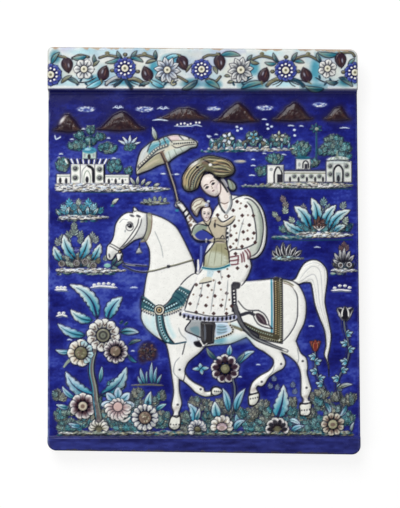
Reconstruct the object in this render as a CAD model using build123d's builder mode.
from build123d import *
import os

# A moulded, painted and glazed frieze tile, pressed as one piece of fritware.
# Millimetres. The tile lies on its flat back: +X to the picture's right, +Y to its top,
# +Z out of the glazed face. The origin is the centre of the back's bounding box.

# Tile blank. A hand-trimmed tile is a little out of square, so each corner has its own place.
TOP_LEFT = (-128.0, 167.1)
TOP_RIGHT = (125.5, 165.0)
FOOT_RIGHT = (128.8, -167.1)
FOOT_LEFT = (-128.8, -163.8)
TOP_LEFT_RADIUS = 4.0
TOP_RIGHT_RADIUS = 6.0
FOOT_RADIUS = 7.5
FIELD_THICKNESS = 17.0
FRONT_EDGE_ROUND = 1.5
BACK_EDGE_CHAMFER = 1.0

# Raised frieze along the top, with a cove under its lower edge, and the raised strip at the foot.
FRIEZE_FOOT_Y = 132.2
FRIEZE_LIP_RADIUS = 2.0
COVE_RADIUS = 4.0
FRIEZE_RISE = COVE_RADIUS + FRIEZE_LIP_RADIUS
FOOT_STRIP_TOP_Y = -151.8
FOOT_STRIP_RISE = 1.6

# The section is run a little past the plan, which then trims it.
TRIM_MARGIN = 1.0

# How much of a direction points up, for a side that counts as upright and for an edge that
# counts as a corner edge.
SLIGHT_SLOPE = 0.01
STEEP_SLOPE = 0.9

# The picture's own grid: its centre on the tile.
PICTURE_CENTRE = (-0.45, 0.6)

# Heights of the moulded picture over the field or the frieze. Each form starts a little below the
# surface that it stands on.
FOLIAGE_RELIEF = 1.4
LOW_RELIEF = 1.8
HORSE_RELIEF = 3.0
SADDLE_CLOTH_RELIEF = 3.6
RIDER_RELIEF = 4.2
HEAD_RELIEF = 4.8
HAT_RELIEF = 5.4
FRIEZE_RELIEF = 1.4
MOULD_OVERLAP = 1.0

# Horse, as runs between its corners, clockwise from the tip of the ear.
HORSE = [
    [(-57.4, 35.9), (-53.5, 32.6)],
    [(-53.5, 32.6), (-41.7, 29.7), (-32.1, 26.1), (-23.5, 20.3), (-18.2, 12.6), (-12.0, 0.0),
     (-6.1, -17.1)],
    [(-6.1, -17.1), (31.5, -29.4)],
    [(31.5, -29.4), (37.3, -26.8), (46.5, -24.5), (59.0, -22.9), (70.8, -24.5)],
    [(70.8, -24.5), (76.5, -21.3), (82.3, -11.0), (90.4, -7.5), (97.9, -11.0), (101.8, -20.5),
     (99.9, -38.0), (101.6, -52.5), (104.8, -70.5), (102.3, -87.0), (103.2, -95.5),
     (103.1, -103.0)],
    [(103.1, -103.0), (100.6, -92.5), (99.2, -85.5), (100.4, -76.0), (97.3, -60.0), (91.3, -43.9),
     (87.8, -26.8)],
    [(87.8, -26.8), (82.5, -26.6), (77.7, -28.8)],
    [(77.7, -28.8), (83.0, -38.0), (84.3, -50.2), (81.6, -63.0), (76.0, -74.4)],
    [(76.0, -74.4), (79.8, -83.5), (85.4, -91.7), (85.1, -101.5), (88.5, -114.0), (86.0, -120.5),
     (88.5, -124.0)],
    [(88.5, -124.0), (87.9, -132.0), (84.4, -135.5), (79.3, -135.3)],
    [(79.3, -135.3), (79.0, -129.1), (81.6, -123.5), (79.9, -117.0), (80.0, -105.0), (76.4, -92.7),
     (63.8, -83.9)],
    [(63.8, -83.9), (67.2, -92.0), (59.7, -100.1), (52.6, -106.0), (48.2, -111.6), (43.8, -112.5),
     (44.9, -116.0)],
    [(44.9, -116.0), (45.2, -122.9), (40.3, -127.6), (37.3, -126.3), (36.7, -121.9),
     (37.9, -117.3)],
    [(37.9, -117.3), (39.4, -110.0), (46.4, -102.7), (56.0, -96.5), (56.6, -88.8), (46.4, -81.4),
     (35.6, -71.4)],
    [(35.6, -71.4), (20.0, -77.0), (2.0, -79.0)],
    [(2.0, -79.0), (-9.0, -88.7), (-15.1, -97.0), (-11.3, -105.5), (0.0, -112.6), (5.4, -115.4)],
    [(5.4, -115.4), (8.5, -112.4), (13.8, -113.0), (15.4, -115.8)],
    [(15.4, -115.8), (8.7, -119.1), (-3.1, -119.1), (-11.5, -111.8), (-20.0, -105.8)],
    [(-20.0, -105.8), (-19.7, -115.8), (-17.7, -126.0), (-20.0, -134.2)],
    [(-20.0, -134.2), (-18.7, -140.0), (-20.6, -146.4), (-25.0, -147.2), (-28.5, -144.5)],
    [(-28.5, -144.5), (-27.5, -138.5), (-24.7, -133.2)],
    [(-24.7, -133.2), (-26.0, -126.5), (-24.8, -113.0), (-27.2, -95.3), (-31.3, -75.9)],
    [(-31.3, -75.9), (-43.1, -67.7), (-51.2, -54.0), (-49.2, -37.0), (-46.5, -20.1), (-44.0, -5.0),
     (-49.4, 10.4)],
    [(-49.4, 10.4), (-58.1, 7.3), (-65.8, 1.0), (-67.0, -5.7), (-70.4, -8.6)],
    [(-70.4, -8.6), (-71.9, -3.2)],
    [(-71.9, -3.2), (-74.7, -7.4), (-78.3, -7.4), (-79.6, -0.5), (-74.9, 8.8), (-72.5, 19.0),
     (-64.3, 30.0), (-58.6, 31.0)],
    [(-58.6, 31.0), (-57.4, 35.9)],
]

# Rider with the cloak blown out behind, the arm that holds the parasol, and the skirt to its fringe.
RIDER = [
    [(12.4, 46.5), (23.0, 45.5)],
    [(23.0, 45.5), (29.5, 43.4), (37.0, 44.8), (46.2, 38.3), (51.3, 25.0), (51.6, 8.0),
     (45.5, -4.6), (37.6, -7.0)],
    [(37.6, -7.0), (39.3, -12.0), (35.5, -23.5), (28.0, -31.0)],
    [(28.0, -31.0), (27.6, -44.0), (29.0, -55.5)],
    [(29.0, -55.5), (14.0, -59.6), (-4.0, -58.0), (-21.2, -52.3)],
    [(-21.2, -52.3), (-14.0, -48.0), (-10.3, -35.0), (-5.0, -22.0), (0.0, -8.0)],
    [(0.0, -8.0), (6.5, 6.0), (9.0, 10.6)],
    [(9.0, 10.6), (2.0, 16.0), (-5.6, 12.8)],
    [(-5.6, 12.8), (-3.5, 8.0)],
    [(-3.5, 8.0), (-9.3, 13.0), (-12.4, 20.0), (-17.0, 31.0), (-20.0, 34.6), (-24.0, 36.8),
     (-21.0, 41.4)],
    [(-21.0, 41.4), (-14.6, 34.8), (-6.5, 23.0), (0.0, 25.5), (6.5, 28.5), (12.4, 46.5)],
]

# Saddle cloth behind the rider's leg.
SADDLE_CLOTH = [
    [(20.0, -27.0), (45.0, -24.6), (63.0, -23.2)],
    [(63.0, -23.2), (63.0, -74.2)],
    [(63.0, -74.2), (20.0, -61.5)],
    [(20.0, -61.5), (20.0, -27.0)],
]

# The rider's boot and the ends of the under-robe beside it, below the fringe.
BOOT = [
    (-10.5, -56.0), (-15.0, -65.0), (-3.0, -70.5), (-8.0, -75.4), (-6.0, -78.6), (2.0, -78.4),
    (8.5, -76.0), (9.6, -71.8), (20.0, -69.0), (24.0, -65.5), (20.0, -56.0),
]

# Parasol canopy, its spike and its pole.
CANOPY = [
    [(-55.6, 62.0), (-54.8, 73.0), (-51.2, 82.5), (-43.5, 88.7), (-33.0, 93.3), (-22.0, 95.2),
     (-10.5, 92.8), (-4.9, 88.0)],
    [(-4.9, 88.0), (-8.0, 84.4), (-18.0, 79.0), (-29.0, 73.0), (-31.0, 71.0)],
    [(-31.0, 71.0), (-40.0, 67.8), (-55.6, 62.0)],
]
SPIKE_FOOT = (-38.0, 90.5)
SPIKE_TIP = (-42.0, 101.0)
SPIKE_WIDTH = 2.6
POLE = [(-30.5, 72.0), (-26.0, 58.4), (-21.4, 41.0)]
POLE_WIDTH = 1.8

# Wrapped felt hat, head and neck of the rider, and the child's wound turban and coat.
HAT = [
    [(-3.0, 54.2), (0.2, 61.8), (8.0, 62.0)],
    [(8.0, 62.0), (20.0, 59.8), (25.6, 65.0), (22.6, 72.4), (11.0, 77.8), (-4.0, 76.0),
     (-14.6, 67.0)],
    [(-14.6, 67.0), (-18.0, 55.6), (-12.5, 48.8), (-7.6, 49.4), (-3.0, 54.2)],
]
HAT_TAIL = [
    [(19.5, 58.5), (26.8, 55.5), (24.0, 48.8)],
    [(24.0, 48.8), (20.2, 51.4), (19.5, 58.5)],
]
HEAD_CENTRE = (6.0, 54.2)
HEAD_LONG_RADIUS = 9.6
HEAD_SHORT_RADIUS = 7.4
HEAD_TILT_DEGREES = -58.0
NECK = [
    [(9.0, 51.0), (13.0, 45.0), (13.5, 38.5), (20.0, 38.8), (22.2, 45.0), (19.0, 52.0),
     (14.5, 58.5), (9.0, 51.0)],
]
TURBAN_CENTRE = (-2.6, 37.2)
TURBAN_RADIUS = 6.6
CHILD_HEAD_CENTRE = (2.4, 30.8)
CHILD_HEAD_LONG_RADIUS = 5.9
CHILD_HEAD_SHORT_RADIUS = 3.6
COAT = [
    [(0.5, 24.5), (6.5, 26.5), (11.4, 27.4)],
    [(11.4, 27.4), (16.0, 23.5), (24.5, 28.5)],
    [(24.5, 28.5), (24.0, 22.4), (18.5, 19.6)],
    [(18.5, 19.6), (18.4, 12.0), (17.4, 6.0)],
    [(17.4, 6.0), (-5.0, 8.0)],
    [(-5.0, 8.0), (-9.6, 14.5), (0.5, 24.5)],
]

# Rosettes: centre and radius to the petals' tips, with the number of petals beside them.
# The petals of the smaller flowers are too fine to stand apart, so those flowers have plain sides.
ROSETTES = [
    ((-82.3, -69.8), 13.6),
    ((-99.9, -84.0), 10.8),
    ((17.9, -97.0), 11.8),
]
ROSETTE_PETALS = (12, 8, 9)
PETAL_NOTCH_SHARE = 0.84
DAISIES = [((-71.6, -82.8), 9.4), ((-98.9, -127.5), 10.0), ((-47.9, -137.1), 10.4), ((-71.0, -130.0), 9.6),
           ((106.0, -142.0), 9.2)]
SMALL_FLOWER_SIDES = 10
ROSETTE_EYE_SHARE = 0.42

# The petals stand one step over the leaves, and the eyes one more.
FLOWER_STEP = 0.8

# Leaves: foot, tip, width, and how far the middle is bowed to the left of the way from foot to tip.
LEAVES = [
    ((-87.2, -55.5), (-109.8, -28.0), 9.0, -5.4),
    ((-78.8, -56.5), (-66.8, -38.4), 8.0, 2.1),
    ((-91.4, -57.5), (-109.2, -48.8), 6.4, 2.3),
    ((-97.5, -69.8), (-119.8, -60.2), 6.0, 2.3),
    ((-68.4, -67.0), (-53.0, -67.3), 5.0, 0.7),
    ((-88.8, -119.5), (-113.2, -99.6), 8.6, 4.2),
    ((-84.6, -118.8), (-63.2, -95.8), 8.6, -4.2),
    ((20.6, -132.0), (15.8, -113.2), 5.4, -1.1),
    ((26.4, -132.0), (34.0, -113.6), 5.6, 1.5),
    ((60.8, -136.4), (65.8, -110.4), 10.4, -1.3),
    ((28.6, -93.0), (41.8, -82.8), 5.0, 1.9),
    ((-7.0, -141.4), (-12.8, -125.4), 6.6, -2.3),
    ((11.6, -137.0), (9.4, -124.0), 7.0, 0.5),
    ((-45.8, -128.6), (-43.2, -115.8), 5.6, 0.6),
]

# Masses of small foliage and the blades that stand in them, as straight-sided shapes, given in
# the same way. The rounder tree tops and bushes have a centre and a radius.
FOLIAGE = [
    ((-110.5, -6.0), (-114.8, 13.0), 6.6, -1.9),
    ((-101.0, -6.0), (-94.2, 12.2), 7.2, 1.8),
    ((-89.5, -7.0), (-84.2, 5.7), 5.6, 1.0),
    ((-117.6, -9.5), (-122.8, 2.8), 5.0, -1.2),
    ((84.0, 16.5), (72.6, 37.6), 6.2, -3.2),
    ((90.5, 18.0), (87.3, 42.6), 6.4, -3.8),
    ((97.0, 17.5), (109.2, 37.4), 6.8, 2.7),
    ((102.0, 16.0), (120.0, 32.2), 6.2, 3.2),
    ((-120.0, -9.5), (-80.0, -9.5), 13.0, 0.0),
    ((-120.0, 33.0), (-83.0, 33.0), 14.0, 0.0),
    ((65.0, 18.5), (122.0, 18.5), 13.0, 0.0),
    ((55.5, -3.0), (81.0, -3.0), 7.0, 0.0),
    ((104.5, -9.5), (125.0, -9.5), 11.0, 0.0),
    ((-112.5, 85.0), (-95.5, 85.0), 7.0, 0.0),
    ((-106.0, 93.5), (-80.0, 93.5), 7.0, 0.0),
    ((-87.0, 84.0), (-70.5, 84.0), 8.4, 0.0),
    ((95.5, 86.0), (122.0, 86.0), 15.0, 0.0),
    ((71.0, 83.0), (89.0, 83.0), 12.0, 0.0),
    ((51.0, 75.5), (66.0, 75.5), 9.0, 0.0),
    ((3.0, 86.5), (74.0, 86.5), 6.0, 0.0),
    ((50.5, -145.0), (70.5, -145.0), 11.0, 0.0),
    ((-11.0, -145.0), (25.0, -145.0), 11.0, 0.0),
    ((-95.0, -145.0), (-77.0, -145.0), 10.0, 0.0),
    ((85.0, -141.0), (98.0, -141.0), 9.0, 0.0),
]
TREE_TOPS = [
    ((-115.5, 70.0), 5.8),
    ((-73.0, 69.0), 5.8),
    ((20.0, 90.5), 5.6),
    ((41.0, 91.5), 6.0),
    ((61.0, 91.0), 5.8),
    ((47.5, 65.5), 4.6),
    ((46.0, -130.0), 6.2),
    ((96.0, -120.0), 5.2),
    ((-118.0, -119.5), 5.2),
    ((-117.0, -135.5), 5.2),
    ((-53.5, -118.0), 4.8),
    ((-35.0, -119.5), 4.2),
    ((-38.0, -139.0), 5.0),
    ((1.0, -127.5), 5.8),
    ((120.0, -122.0), 4.6),
    ((118.0, -138.0), 5.4),
]
FOLIAGE_SHOULDER = 0.28
TREE_TOP_SIDES = 8

# Stems, as arcs through three points, and the tulips on them.
STEMS = [
    [(-89.0, -80.7), (-91.8, -100.0), (-86.6, -136.0)],
    [(21.6, -105.5), (25.6, -118.3), (21.0, -136.8)],
    [(92.0, -82.4), (93.6, -98.0), (99.6, -113.2)],
    [(114.3, -57.1), (118.4, -74.0), (116.4, -91.0)],
    [(116.4, -91.0), (109.6, -105.0), (111.6, -121.0)],
]
STEM_WIDTH = 3.0
TULIPS = [((92.0, -77.0), 4.8), ((116.7, -51.5), 5.4)]

# Far hills: left foot, peak, right foot.
HILLS = [
    [(-121.0, 99.0), (-114.0, 111.0), (-101.0, 99.5)],
    [(-85.5, 99.0), (-67.0, 113.6), (-50.0, 99.0)],
    [(-26.0, 109.0), (-18.0, 116.6), (1.0, 108.5)],
    [(10.5, 106.5), (29.0, 120.7), (43.0, 106.0)],
    [(60.0, 108.0), (75.0, 121.0), (87.0, 107.5)],
    [(102.0, 108.0), (112.0, 118.0), (118.0, 108.0)],
]

# Small buildings: left, right, foot and top of each block. Domes: centre across, springing, radius.
BLOCKS = [
    (-120.7, -109.0, 54.8, 62.3),
    (-108.6, -81.0, 54.8, 70.7),
    (-80.8, -61.0, 54.8, 62.3),
    (52.4, 65.7, 55.2, 70.0),
    (65.9, 100.0, 56.5, 66.0),
    (77.0, 88.0, 64.0, 75.9),
    (100.5, 121.8, 57.3, 73.2),
]
DOMES = [(-93.5, 76.0, 6.2), (109.7, 73.0, 6.0)]

# Frieze: the whole flowers along the band, and the buds that hang between them, from stalk to tip.
# Their heights are measured from the middle of the band.
FRIEZE_FLOWERS = [
    ((-97.6, -0.5), 8.0),
    ((-64.2, 0.2), 8.9),
    ((-29.6, -1.1), 9.6),
    ((-1.6, -0.6), 8.4),
    ((30.4, -1.1), 9.4),
    ((67.1, -1.4), 8.9),
    ((101.2, 0.0), 7.2),
]
BUDS = [
    ((-111.9, 9.0), (-110.7, -3.2)),
    ((-85.4, -8.9), (-77.8, 0.7)),
    ((-42.4, -9.5), (-50.0, 0.1)),
    ((-20.8, 9.5), (-13.2, -0.1)),
    ((12.6, 11.2), (13.8, -1.0)),
    ((45.6, -10.7), (53.2, -1.1)),
    ((87.4, -10.7), (79.8, -1.1)),
    ((111.4, 13.0), (112.6, 0.8)),
]
BUD_WIDTH = 6.6


def run_face(runs):
    """A face inside a closed outline of runs that meet at corners.

    A run of two points is straight. A longer one is a chain of arcs through three points at a
    time, and a last single point is reached by going on round from the arc before it.
    """
    with BuildSketch(mode=Mode.PRIVATE) as shape:
        with BuildLine():
            for run in runs:
                if len(run) == 2:
                    Line(*run)
                    continue
                for first in range(0, len(run) - 2, 2):
                    arc = ThreePointArc(*run[first:first + 3])
                if len(run) % 2 == 0:
                    TangentArc(run[-2], run[-1], tangent=arc % 1)
        make_face()
    return shape.sketch


def leaf_face(foot, tip, width, bow=0.0):
    """A leaf between two arcs that meet at its foot and its tip."""
    along = Vector(*tip) - Vector(*foot)
    left = Vector(-along.Y, along.X).normalized()
    middle = Vector(*foot) + along / 2 + left * bow
    side = left * (width / 2)
    with BuildSketch(mode=Mode.PRIVATE) as shape:
        with BuildLine():
            ThreePointArc(foot, middle + side, tip)
            ThreePointArc(tip, middle - side, foot)
        make_face()
    return shape.sketch


def foliage_face(foot, tip, width, bow):
    """A six-sided shape that narrows to its foot and its tip."""
    along = Vector(*tip) - Vector(*foot)
    left = Vector(-along.Y, along.X).normalized()
    side = left * (width / 2)
    shoulders = [Vector(*foot) + along * share + left * bow
                 for share in (FOLIAGE_SHOULDER, 1 - FOLIAGE_SHOULDER)]
    with BuildSketch(mode=Mode.PRIVATE) as shape:
        with BuildLine():
            Polyline(foot, shoulders[0] + side, shoulders[1] + side, tip,
                     shoulders[1] - side, shoulders[0] - side, close=True)
        make_face()
    return shape.sketch


def rosette_face(centre, radius, petals):
    """A round flower with an arc for each petal, between notches in its rim."""
    def on_rim(turn, reach):
        return Vector(*centre) + Vector(reach, 0).rotate(Axis.Z, 360 * turn / petals)

    with BuildSketch(mode=Mode.PRIVATE) as shape:
        with BuildLine():
            for petal in range(petals):
                notches = [on_rim(petal + end, radius * PETAL_NOTCH_SHARE) for end in (0, 1)]
                ThreePointArc(notches[0], on_rim(petal + 0.5, radius), notches[1])
        make_face()
    return shape.sketch


def stem_face(points, width):
    """A stem of even width along an arc."""
    with BuildSketch(mode=Mode.PRIVATE) as shape:
        with BuildLine() as line:
            ThreePointArc(*points)
        trace(line.line, line_width=width)
    return shape.sketch


picture = Plane(origin=(*PICTURE_CENTRE, FIELD_THICKNESS - MOULD_OVERLAP))
frieze_middle_y = (FRIEZE_FOOT_Y + (TOP_LEFT[1] + TOP_RIGHT[1]) / 2) / 2
frieze_origin = (PICTURE_CENTRE[0], frieze_middle_y, FIELD_THICKNESS + FRIEZE_RISE - MOULD_OVERLAP)
frieze = Plane(origin=frieze_origin)

# The moulded picture: each layer of forms stands a little proud of the one behind it.
blocks = [Pos((left + right) / 2, (foot + top) / 2) * Rectangle(right - left, top - foot)
          for left, right, foot, top in BLOCKS]
domes = [Pos(x, springing) * Circle(radius) for x, springing, radius in DOMES]
foliage = [foliage_face(*mass) for mass in FOLIAGE]
foliage += [Pos(*centre) * RegularPolygon(radius, TREE_TOP_SIDES) for centre, radius in TREE_TOPS]
behind = [Polygon(*hill, align=None) for hill in HILLS]
behind += blocks + domes
behind += [leaf_face(*leaf) for leaf in LEAVES]
behind += [stem_face(stem, STEM_WIDTH) for stem in STEMS]
behind += [Pos(*centre) * Circle(radius) for centre, radius in TULIPS]
behind += [leaf_face(SPIKE_FOOT, SPIKE_TIP, SPIKE_WIDTH), stem_face(POLE, POLE_WIDTH)]
flowers = [rosette_face(*rosette, petals) for rosette, petals in zip(ROSETTES, ROSETTE_PETALS)]
flowers += [Pos(*centre) * RegularPolygon(radius, SMALL_FLOWER_SIDES) for centre, radius in DAISIES]
eyes = [Pos(*centre) * Circle(radius * ROSETTE_EYE_SHARE) for centre, radius in ROSETTES]
frieze_forms = [Pos(*centre) * RegularPolygon(radius, SMALL_FLOWER_SIDES)
                for centre, radius in FRIEZE_FLOWERS]
frieze_forms += [leaf_face(stalk, tip, BUD_WIDTH) for stalk, tip in BUDS]
horse = [run_face(HORSE)]
rider = [run_face(RIDER), run_face(CANOPY)]
saddle_cloth = [run_face(SADDLE_CLOTH), Polygon(*BOOT, align=None)]
hat = [run_face(HAT), Pos(*TURBAN_CENTRE) * Circle(TURBAN_RADIUS)]
heads = [
    run_face(COAT),
    run_face(HAT_TAIL),
    run_face(NECK),
    Pos(*HEAD_CENTRE) * Rot(0, 0, HEAD_TILT_DEGREES) * Ellipse(HEAD_LONG_RADIUS, HEAD_SHORT_RADIUS),
    Pos(*CHILD_HEAD_CENTRE) * Ellipse(CHILD_HEAD_SHORT_RADIUS, CHILD_HEAD_LONG_RADIUS),
]
layers = [
    (picture, foliage, FOLIAGE_RELIEF),
    (picture, behind, LOW_RELIEF),
    (picture, flowers, LOW_RELIEF + FLOWER_STEP),
    (picture, eyes, LOW_RELIEF + 2 * FLOWER_STEP),
    (picture, horse, HORSE_RELIEF),
    (picture, saddle_cloth, SADDLE_CLOTH_RELIEF),
    (picture, rider, RIDER_RELIEF),
    (picture, heads, HEAD_RELIEF),
    (picture, hat, HAT_RELIEF),
    (frieze, frieze_forms, FRIEZE_RELIEF),
]

with BuildPart() as blank:
    # The section from foot to top, drawn once and run across the tile's width.
    half_width = FOOT_RIGHT[0] + TRIM_MARGIN
    field_z = FIELD_THICKNESS
    strip_z = FIELD_THICKNESS + FOOT_STRIP_RISE
    frieze_z = FIELD_THICKNESS + FRIEZE_RISE
    foot_y = FOOT_RIGHT[1] - TRIM_MARGIN
    top_y = TOP_LEFT[1] + TRIM_MARGIN
    with BuildSketch(Plane.YZ.offset(-half_width)):
        with BuildLine():
            Line((foot_y, 0), (foot_y, strip_z))
            Line((foot_y, strip_z), (FOOT_STRIP_TOP_Y - FOOT_STRIP_RISE, strip_z))
            Line((FOOT_STRIP_TOP_Y - FOOT_STRIP_RISE, strip_z), (FOOT_STRIP_TOP_Y, field_z))
            Line((FOOT_STRIP_TOP_Y, field_z), (FRIEZE_FOOT_Y - COVE_RADIUS, field_z))
            JernArc((FRIEZE_FOOT_Y - COVE_RADIUS, field_z), (1, 0), COVE_RADIUS, 90)
            JernArc((FRIEZE_FOOT_Y, frieze_z - FRIEZE_LIP_RADIUS), (0, 1), FRIEZE_LIP_RADIUS, -90)
            Line((FRIEZE_FOOT_Y + FRIEZE_LIP_RADIUS, frieze_z), (top_y, frieze_z))
            Line((top_y, frieze_z), (top_y, 0))
            Line((top_y, 0), (foot_y, 0))
        make_face()
    extrude(amount=2 * half_width)

    # The plan, with its own radius at each corner, trims that section.
    with BuildSketch() as plan:
        with BuildLine():
            Polyline(TOP_LEFT, TOP_RIGHT, FOOT_RIGHT, FOOT_LEFT, close=True)
        make_face()
        fillet(plan.vertices().sort_by(Axis.Y)[:2], FOOT_RADIUS)
        fillet(plan.vertices().sort_by_distance(TOP_LEFT)[0], TOP_LEFT_RADIUS)
        fillet(plan.vertices().sort_by_distance(TOP_RIGHT)[0], TOP_RIGHT_RADIUS)
    extrude(amount=frieze_z, mode=Mode.INTERSECT)

    # The front edges all round are worn, and the back edges are trimmed with a knife. A front
    # edge lies on one of the upright sides, above the middle, and doesn't stand upright itself.
    upright_sides = [face for face in blank.faces() if abs(face.normal_at().Z) < SLIGHT_SLOPE]
    front_edges = [edge for face in upright_sides for edge in face.edges()
                   if edge.center().Z > FIELD_THICKNESS / 2 and abs(edge.tangent_at(0.5).Z) < STEEP_SLOPE]
    fillet(front_edges, FRONT_EDGE_ROUND)
    chamfer(blank.faces().sort_by(Axis.Z)[0].edges(), BACK_EDGE_CHAMFER)

# Each layer of the picture is pressed to its own height.
pressings = []
for plane, faces, rise in layers:
    with BuildPart() as pressing:
        with BuildSketch(plane):
            add(faces)
        extrude(amount=MOULD_OVERLAP + rise)
    pressings.append(pressing.part)

# The whole tile is one piece of clay: the blank with the picture's layers on it, back to front.
with BuildPart() as tile:
    add(blank.part)
    for pressed_layer in pressings:
        add(pressed_layer)

tile.part.label = "tile"
os.makedirs("parts", exist_ok=True)
export_step(tile.part, "parts/tile.step")
